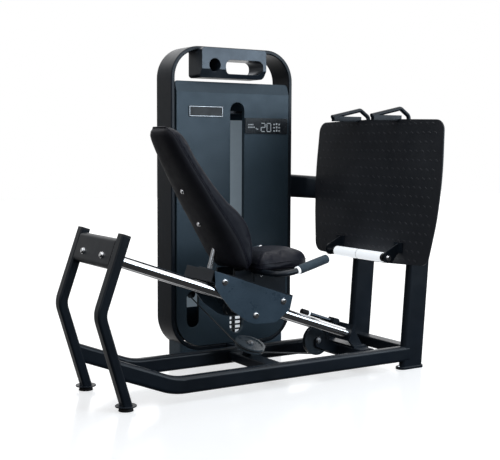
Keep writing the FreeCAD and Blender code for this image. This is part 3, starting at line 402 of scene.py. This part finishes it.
def make_object(name, verts, faces, mat, smooth=True):
    mesh = bpy.data.meshes.new(name)
    mesh.from_pydata([tuple(v) for v in verts], [], faces)
    work = bmesh.new()
    work.from_mesh(mesh)
    bmesh.ops.remove_doubles(work, verts=work.verts, dist=1e-6)
    bmesh.ops.recalc_face_normals(work, faces=work.faces)
    for face in work.faces:
        face.smooth = smooth
    work.to_mesh(mesh)
    work.free()
    mesh.materials.append(mat)
    obj = bpy.data.objects.new(name, mesh)
    bpy.context.scene.collection.objects.link(obj)
    return obj


def stacked(rings):
    """Closed surface through rings of equally many points; both ends are capped."""
    count = len(rings[0])
    verts = [p for ring in rings for p in ring]
    faces = []
    for i in range(len(rings) - 1):
        for j in range(count):
            k = (j + 1) % count
            faces.append((i * count + j, i * count + k, (i + 1) * count + k, (i + 1) * count + j))
    faces.append(tuple(range(count)))
    faces.append(tuple((len(rings) - 1) * count + j for j in reversed(range(count))))
    return verts, faces


def tube_rings(path, radius, sides=12, closed=False):
    """Rings of a round section carried along a path of points; radius is one value or one per point."""
    rings = []
    up = None
    for i, here in enumerate(path):
        before = path[i - 1] if i or closed else path[0]
        after = path[(i + 1) % len(path)] if i + 1 < len(path) or closed else path[-1]
        along = (after - before).normalized()
        if up is None:
            up = along.orthogonal().normalized()
        up = (up - along * up.dot(along)).normalized()
        side = along.cross(up)
        r = radius[i] if isinstance(radius, (list, tuple)) else radius
        rings.append([here + (up * math.cos(a) + side * math.sin(a)) * r
                      for a in (2 * math.pi * k / sides for k in range(sides))])
    return rings


def tube(name, path, radius, mat, sides=12, closed=False):
    rings = tube_rings(path, radius, sides, closed)
    verts, faces = stacked(rings)
    if closed:
        faces = faces[:-2]
        count, last = sides, len(rings) - 1
        # the section may come round turned, so the last ring is joined to the nearest points of the first
        shift = min(range(count), key=lambda k: (rings[-1][0] - rings[0][k]).length)
        for j in range(count):
            after = (j + 1) % count
            faces.append((last * count + j, last * count + after, (j + 1 + shift) % count, (j + shift) % count))
    return make_object(name, verts, faces, mat)


def tiles(name, outlines, lift, thick, mat, inset=0.0008):
    """Thin raised tiles: each outline lies on a surface and is raised along 'lift' with a bevelled rim."""
    verts, faces = [], []
    for loop in outlines:
        centre = sum(loop, Vector()) / len(loop)
        first = len(verts)
        n = len(loop)
        verts += list(loop)
        verts += [p + lift * (thick * 0.6) for p in loop]
        verts += [p + (centre - p).normalized() * inset + lift * thick for p in loop]
        for layer in (0, 1):
            for j in range(n):
                k = (j + 1) % n
                a, b = first + layer * n, first + (layer + 1) * n
                faces.append((a + j, a + k, b + k, b + j))
        faces.append(tuple(first + 2 * n + j for j in range(n)))
        faces.append(tuple(first + j for j in reversed(range(n))))
    return make_object(name, verts, faces, mat, smooth=False)


def inflate(obj, pressure, pinned, cap):
    """Cloth simulation of a stuffed cover: closed mesh under inner pressure, held near its board."""
    bpy.context.view_layer.objects.active = obj
    remesh = obj.modifiers.new("even", "REMESH")
    remesh.mode = "VOXEL"
    remesh.voxel_size = 0.0055
    bpy.ops.object.modifier_apply(modifier="even")
    rest = [v.co.copy() for v in obj.data.vertices]
    group = obj.vertex_groups.new(name="held")
    group.add([v.index for v in obj.data.vertices if pinned(v.co)], 1.0, "REPLACE")
    cloth = obj.modifiers.new("cover", "CLOTH")
    cloth.settings.use_pressure = True
    cloth.settings.uniform_pressure_force = pressure
    cloth.settings.shrink_min = 0.0
    cloth.settings.tension_stiffness = 22
    cloth.settings.compression_stiffness = 22
    cloth.settings.bending_stiffness = 1.2
    cloth.settings.quality = 5
    cloth.settings.vertex_group_mass = "held"
    cloth.settings.effector_weights.gravity = 0.0
    cloth.point_cache.frame_end = 20
    for step in range(1, 21):
        bpy.context.scene.frame_set(step)
    bpy.ops.object.modifier_apply(modifier="cover")
    bpy.context.scene.frame_set(1)
    for vert, was in zip(obj.data.vertices, rest):
        move = vert.co - was
        if move.length > cap:
            vert.co = was + move.normalized() * cap
    smooth = obj.modifiers.new("relax", "SMOOTH")
    smooth.factor = 0.5
    smooth.iterations = 3
    bpy.ops.object.modifier_apply(modifier="relax")
    finer = obj.modifiers.new("finer", "SUBSURF")
    finer.levels = finer.render_levels = 1
    bpy.ops.object.modifier_apply(modifier="finer")
    for poly in obj.data.polygons:
        poly.use_smooth = True


def on_surface(obj, points, out=0.0):
    tree = BVHTree.FromPolygons([v.co for v in obj.data.vertices], [p.vertices for p in obj.data.polygons])
    found = []
    for p in points:
        spot, normal = tree.find_nearest(p)[:2]
        found.append(spot + normal * out)
    return found


# ---------------------------------------------------------------- seat cushion
def seat_outline(inset):
    low_x, high_x, low_y, high_y = 654 + inset, 957 - inset, 47 + inset, 347 - inset
    heel, nose = max(24 - inset, 4), 132 - inset * 0.6
    return rounded_outline([(low_x, low_y, heel), (high_x, low_y, nose),
                            (high_x, high_y, nose), (low_x, high_y, heel)], 12)


def seat_top(x):
    nose = max(0.0, (x - 870) / 87)
    return 562 + (x - 640) * 0.0424 - 13 * nose * nose


def seat_ring(inset, drop, level=None):
    return [at(p.x, p.y, level if level is not None else seat_top(p.x) - drop) for p in seat_outline(inset)]


rings = [seat_ring(14, 0, 499.0), seat_ring(5, 0, 500.5), seat_ring(2, 0, 506), seat_ring(1, 0, 520)]
rings += [seat_ring(2, 34)]
rings += [seat_ring(3 + 30 * (1 - math.cos(a)), 30 - 30 * math.sin(a)) for a in (0.3, 0.6, 0.9, 1.2, 1.45)]
rings += [seat_ring(60, -3), seat_ring(95, -5)]
seat = make_object("seat_cushion", *stacked(rings), M["vinyl"])
inflate(seat, 4.0, lambda co: co.z < 0.502, 0.009)
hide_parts("seat_pad")
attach(seat, "carriage")
for name, inset, drop, level in (("seat_welt_upper", 1.5, 33, None), ("seat_welt_lower", 1.5, 0, 512.0)):
    line = on_surface(seat, seat_ring(inset, drop, level), 0.0006)
    welt = tube(name, line, 0.0019, M["welt"], 8, closed=True)
    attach(welt, "carriage")


# ---------------------------------------------------------------- backrest
# side view from the top down as (x, z): back of the shell, seam with the cushion, face of the cushion
REAR = [(222, 1088), (262, 1016), (309, 932), (355, 850), (400, 770),
        (439, 701), (480, 628), (518, 560), (548, 508)]
SEAM = [(252, 1108), (303, 1022), (349, 944), (395, 870), (440, 802),
        (488, 741), (534, 677), (577, 604), (612, 506)]
FRONT = [(294, 1112), (334, 1050), (381, 966), (442, 879), (510, 804),
         (578, 746), (624, 684), (643, 596), (634, 508)]
BACK_ROWS, BACK_COLS = 44, 30


def back_width(t):
    z = curve_at(SEAM, t)[1]
    wide = 130 if z < 820 else 130 - 42 * ((z - 820) / 300) ** 1.25
    top = max(0.0, (z - 1072) / 38)
    low = max(0.0, (548 - z) / 44)
    return wide - 36 * top * top - 16 * low * low


def back_surface(line, power, end_power, shrink=0.0):
    """Grid over the backrest: full depth on the middle line, rolling to the seam at its edges."""
    grid = []
    for i in range(BACK_ROWS + 1):
        t = i / BACK_ROWS
        seam, far = curve_at(SEAM, t), curve_at(line, t)
        close = 1 - abs(2 * t - 1) ** end_power
        row = []
        for j in range(BACK_COLS + 1):
            v = math.sin((2 * j / BACK_COLS - 1) * math.pi / 2)
            depth = max(0.0, 1 - abs(v) ** power) ** (1 / power) * max(0.0, close) ** (1 / 2.4)
            row.append(at(seam[0] + (far[0] - seam[0]) * depth, 197 + v * (back_width(t) - shrink),
                          seam[1] + (far[1] - seam[1]) * depth))
        grid.append(row)
    return grid


def closed_shell(front, back):
    verts, faces = [], []
    for grid, flip in ((front, False), (back, True)):
        first = len(verts)
        wide = len(grid[0])
        verts += [p for row in grid for p in row]
        for i in range(len(grid) - 1):
            for j in range(wide - 1):
                a = first + i * wide + j
                quad = (a, a + 1, a + wide + 1, a + wide)
                faces.append(tuple(reversed(quad)) if flip else quad)
    return verts, faces


seam_grid = back_surface(SEAM, 2.0, 8.0, 2.0)
cushion = make_object("back_cushion", *closed_shell(back_surface(FRONT, 4.5, 14.0, 2.0), seam_grid), M["vinyl"])
inflate(cushion, 4.0, lambda co: False, 0.007)
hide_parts("backrest_pad")
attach(cushion, "carriage")

shell_skin = closed_shell(back_surface(REAR, 2.9, 9.0), back_surface(SEAM, 2.0, 8.0))
shell = make_object("back_shell_moulding", *shell_skin, M["shell"])
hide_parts("backrest_shell")
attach(shell, "carriage")

edge = [row[0] for row in seam_grid] + seam_grid[-1][1:-1] + [row[-1] for row in reversed(seam_grid)]
edge += list(reversed(seam_grid[0][1:-1]))
edge = [p for k, p in enumerate(edge) if (p - edge[k - 1]).length > 0.002]
piping = tube("back_welt", edge, 0.003, M["welt"], 8, closed=True)
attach(piping, "carriage")


# ---------------------------------------------------------------- grips, sleeve and cables
def spun(name, a, b, profile, mat, sides=40):
    """Turned piece from a to b; profile is (fraction along, radius) pairs."""
    path = [a + (b - a) * t for t, r in profile]
    axis = (b - a).normalized()
    up = axis.orthogonal().normalized()
    side = axis.cross(up)
    turns = [2 * math.pi * k / sides for k in range(sides)]
    rings = [[p + (up * math.cos(q) + side * math.sin(q)) * r for q in turns]
             for p, (t, r) in zip(path, profile)]
    return make_object(name, *stacked(rings), mat)


def end_profile(length, radius, round_start, round_end, swell=0.0, steps=6):
    pts = []
    for k in range(steps + 1):
        a = math.pi / 2 * k / steps
        pts.append((round_start * (1 - math.cos(a)) / length, radius - round_start * (1 - math.sin(a))))
    for k in range(1, 24):
        t = (round_start + (length - round_start - round_end) * k / 24) / length
        pts.append((t, radius + swell * math.sin(math.pi * k / 24)))
    for k in range(steps + 1):
        a = math.pi / 2 * (1 - k / steps)
        pts.append((1 - round_end * (1 - math.cos(a)) / length, radius - round_end * (1 - math.sin(a))))
    return pts


def grip_point(x, y):
    return at(x, y, 508.0 + (x - 768.0) * 0.272)


for label, y in (("right", -60.0), ("left", 454.0)):
    a, b = grip_point(778.2, y), grip_point(928.0, y)
    profile = end_profile((b - a).length, 0.0192, 0.002, 0.008, 0.0006)
    grip = spun("foam_grip_" + label, a, b, profile, M["foam"])
    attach(grip, "carriage")
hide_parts("handle_grips")

# the sleeve's material glows a little: painted light that keeps the white roller bright
sleeve = spun("heel_roller_sleeve", at(1300, 15, 528), at(1300, 359, 528),
              end_profile(0.344, 0.0229, 0.004, 0.004), M["sleeve"], 48)
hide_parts("foot_roller")
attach(sleeve, "calf_roller")
turns = [2 * math.pi * k / 48 for k in range(48)]
ring = [at(1300 + 23.1 * math.cos(a), 187, 528 + 23.1 * math.sin(a)) for a in turns]
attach(tube("heel_roller_joint", ring, 0.0009, M["cap"], 6, closed=True), "calf_roller")


def span(name, a, b, node):
    path = [a + (b - a) * (k / 80) for k in range(81)]
    piece = tube(name, path, 0.003, M["cable"], 14)
    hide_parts(node)
    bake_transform(piece)


span("cable_to_carriage", at(816.884, 197, 294.367), at(1082.44, 197, 200.85),
     "cable_carriage_span")
span("cable_to_stack", at(898, 715, 550), at(898, 715, 1262), "cable_stack_span")


# ---------------------------------------------------------------- foot plate tread
LEAN = math.radians(4.0)
AWAY = Vector((-math.cos(LEAN), 0, math.sin(LEAN)))


def plate_half(z):
    rows = [(497, 380, 395), (530, 407, 420), (700, 446, 447), (900, 464, 463), (1152, 452, 452)]
    for (z0, a0, b0), (z1, a1, b1) in zip(rows, rows[1:]):
        if z <= z1:
            f = max(0.0, (z - z0) / (z1 - z0))
            return a0 + (a1 - a0) * f, b0 + (b1 - b0) * f
    return 440, 440


def plate_face(y, z, off=0.05):
    return at(1363 + (z - 530) * math.tan(LEAN), y, z) + AWAY * (off / 1000)


lozenges = []
for row in range(16):
    z = 1136 - 41 * row
    low, high = plate_half(z)
    for col in range(-12, 13):
        y = 197 + 38.6 * col + (19.3 if row % 2 else 0.0)
        if y - 197 < -low + 34 or y - 197 > high - 34:
            continue
        loop = []
        for k in range(10):
            a = 2 * math.pi * k / 10
            u, w = 10.0 * math.cos(a), 3.6 * math.sin(a)
            loop.append(plate_face(y + u * 0.87 - w * 0.5, z + u * 0.5 + w * 0.87))
        lozenges.append(loop)
tread = tiles("tread_lozenges", lozenges, AWAY, 0.0011, M["lozenge"], 0.0012)
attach(tread, "frame")


# ---------------------------------------------------------------- tower details
TOWARD = Vector((0, -1, 0))
UP = Vector((0, 0, 1))


def flat_tile(x0, x1, z0, z1, y):
    return [at(x0, y, z0), at(x1, y, z0), at(x1, y, z1), at(x0, y, z1)]


LIT = {"0": "abcdef", "2": "abged"}     # the seven-segment bars that each shown digit lights


def digit(x, z, wide, high, text, y, w=3.2):
    """Seven-segment digit: the bars are lettered clockwise from the top, and g crosses the middle."""
    middle = z + high / 2
    bars = {
        "a": (x + w, x + wide - w, z + high - w, z + high),
        "b": (x + wide - w, x + wide, middle, z + high - w),
        "c": (x + wide - w, x + wide, z + w, middle),
        "d": (x + w, x + wide - w, z, z + w),
        "e": (x, x + w, z + w, middle),
        "f": (x, x + w, middle, z + high - w),
        "g": (x + w, x + wide - w, middle - w / 2, middle + w / 2),
    }
    return [flat_tile(*bars[key], y) for key in LIT[text]]


# ---- the display: a large 20, three bars of a small chart, and two rows of dashes
face_y = 628.95
glyphs = []
for k, text in enumerate("20"):
    glyphs += digit(1030 + 34 * k, 1102, 27, 44, text, face_y, 4.0)
for k in range(3):
    for z in (1104, 1120, 1136):
        glyphs += [flat_tile(1104 + 15 * k, 1113 + 15 * k, z, z + 7 + 3 * (k == 1), face_y)]
glyphs += [flat_tile(1006, 1015, 1112, 1117, face_y), flat_tile(1001, 1006, 1116, 1121, face_y)]
for k in range(5):
    glyphs.append(flat_tile(957 + 8 * k, 962 + 8 * k, 1120, 1127, face_y))
for k in range(4):
    glyphs.append(flat_tile(957 + 8 * k, 963 + 8 * k, 1134, 1139, face_y))
shown = tiles("display_digits", glyphs, TOWARD, 0.0005, M["glow"], 0.0002)
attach(shown, "frame")

border = []
for x0, x1, z0, z1 in ((634, 814, 1216.4, 1218), (634, 814, 1172, 1173.6), (634, 635.6, 1173.6, 1216.4),
                       (812.4, 814, 1173.6, 1216.4)):
    border.append(flat_tile(x0, x1, z0, z1, 630.95))
trim = tiles("name_plate_border", border, TOWARD, 0.0006, M["steel"], 0.0003)
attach(trim, "frame")

# the white labels' material glows a little: painted light
for body, first, last in (("frame", 0, 12), ("stack", 12, 16)):
    cards = []
    for k in range(first, last):
        z = 112 + 22 * k + 4.2
        cards += [flat_tile(863, 883, z, z + 13, 659.95), flat_tile(905, 932, z, z + 13, 659.95)]
    piece = tiles("weight_labels_" + body, cards, TOWARD, 0.0004, M["label"], 0.0005)
    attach(piece, body)


def dome(name, centre, out, radius, height, mat, body):
    """Low domed screw head with a flat washer rim."""
    a, b = centre, centre + out * height
    profile = [(0.0, radius), (0.12, radius), (0.14, radius * 0.82)]
    profile += [(0.14 + 0.86 * math.sin(q), radius * 0.82 * math.cos(q)) for q in (0.3, 0.6, 0.9, 1.2, 1.42)]
    piece = spun(name, a, b, profile, mat, 24)
    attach(piece, body)


for k, (x, z) in enumerate(((700, 470), (790, 470))):
    dome("seat_panel_screw_%d" % k, at(x, 110.9, z), TOWARD, 0.0055, 0.004, M["bolt"], "carriage")
for k, y in enumerate((0.0, 394.0)):
    for x in (1393.0, 1524.0):
        dome("flange_screw_%d_%d" % (k, x), at(x, y, 12.05), UP, 0.006, 0.005, M["bolt"], "frame")


# ---------------------------------------------------------------- stage and light
def make_stage():
    size = 14.0
    mesh = bpy.data.meshes.new("floor")
    corners = [(-size, -size, 0), (size, -size, 0), (size, size, 0), (-size, size, 0)]
    mesh.from_pydata(corners, [], [(0, 1, 2, 3)])
    floor = bpy.data.objects.new("floor", mesh)
    bpy.context.scene.collection.objects.link(floor)
    mat, tree, shader, coords = new_nodes("studio_floor")
    drift = remap(tree, noise(tree, coords, 1.5, 3.0), 0.3, 0.7, 0.0, 1.0)
    tree.links.new(mix(tree, drift, (0.80, 0.80, 0.81), (0.84, 0.84, 0.85)), shader.inputs["Base Color"])
    shader.inputs["Roughness"].default_value = 0.16
    shader.inputs["Emission Color"].default_value = (1, 1, 1, 1)
    shader.inputs["Emission Strength"].default_value = 0.62
    mesh.materials.append(mat)
    # the machine mirrors a dark studio below the horizon, not the white sweep
    floor.visible_glossy = False
    floor.visible_diffuse = False


def area(name, place, aim, size, power, colour=(1, 1, 1)):
    data = bpy.data.lights.new(name, "AREA")
    data.shape = "RECTANGLE"
    data.size, data.size_y = size
    data.energy = power
    data.color = colour
    lamp = bpy.data.objects.new(name, data)
    lamp.location = place
    lamp.rotation_euler = (Vector(aim) - Vector(place)).to_track_quat("-Z", "Y").to_euler()
    bpy.context.scene.collection.objects.link(lamp)


def make_world():
    world = bpy.data.worlds.new("studio")
    bpy.context.scene.world = world
    world.use_nodes = True
    tree = world.node_tree
    tree.nodes.clear()
    coords = tree.nodes.new("ShaderNodeTexCoord")
    behind = tree.nodes.new("ShaderNodeVectorMath")
    behind.operation = "DOT_PRODUCT"
    behind.inputs[1].default_value = (0.62, 0.78, 0.0)
    tree.links.new(coords.outputs["Generated"], behind.inputs[0])
    lobe = remap(tree, behind.outputs["Value"], 0.35, 0.95, 0.0, 0.85)
    split = tree.nodes.new("ShaderNodeSeparateXYZ")
    tree.links.new(coords.outputs["Generated"], split.inputs[0])
    sky = remap(tree, split.outputs["Z"], -0.12, 0.05, 0.03, 0.22)
    shaded = tree.nodes.new("ShaderNodeMath")
    shaded.operation = "ADD"
    tree.links.new(lobe, shaded.inputs[0])
    tree.links.new(sky, shaded.inputs[1])
    path = tree.nodes.new("ShaderNodeLightPath")
    # a bright ceiling that only mirrors see
    ceiling = remap(tree, split.outputs["Z"], 0.30, 0.62, 0.0, 1.3)
    seen = tree.nodes.new("ShaderNodeMath")
    seen.operation = "MULTIPLY_ADD"
    tree.links.new(ceiling, seen.inputs[0])
    tree.links.new(path.outputs["Is Glossy Ray"], seen.inputs[1])
    tree.links.new(shaded.outputs["Value"], seen.inputs[2])
    level = tree.nodes.new("ShaderNodeMix")
    level.data_type = "FLOAT"
    tree.links.new(path.outputs["Is Camera Ray"], level.inputs["Factor"])
    tree.links.new(seen.outputs["Value"], level.inputs["A"])
    level.inputs["B"].default_value = 1.0
    shade = tree.nodes.new("ShaderNodeBackground")
    shade.inputs["Color"].default_value = (1, 1, 1, 1)
    tree.links.new(level.outputs["Result"], shade.inputs["Strength"])
    out = tree.nodes.new("ShaderNodeOutputWorld")
    tree.links.new(shade.outputs["Background"], out.inputs["Surface"])


make_stage()
make_world()
area("right_softbox", (2.6, -3.6, 1.7), (0.0, 0.1, 0.7), (2.6, 2.2), 84, (0.76, 0.89, 1.0))
area("top_softbox", (0.2, -1.2, 3.4), (0.0, 0.0, 0.2), (3.0, 3.0), 26, (0.85, 0.94, 1.0))
area("left_strip", (-3.2, -1.8, 2.2), (0.0, 0.0, 0.8), (0.8, 2.2), 10, (0.8, 0.9, 1.0))
bpy.context.scene.view_settings.view_transform = "Standard"
bpy.context.scene.view_settings.look = "None"
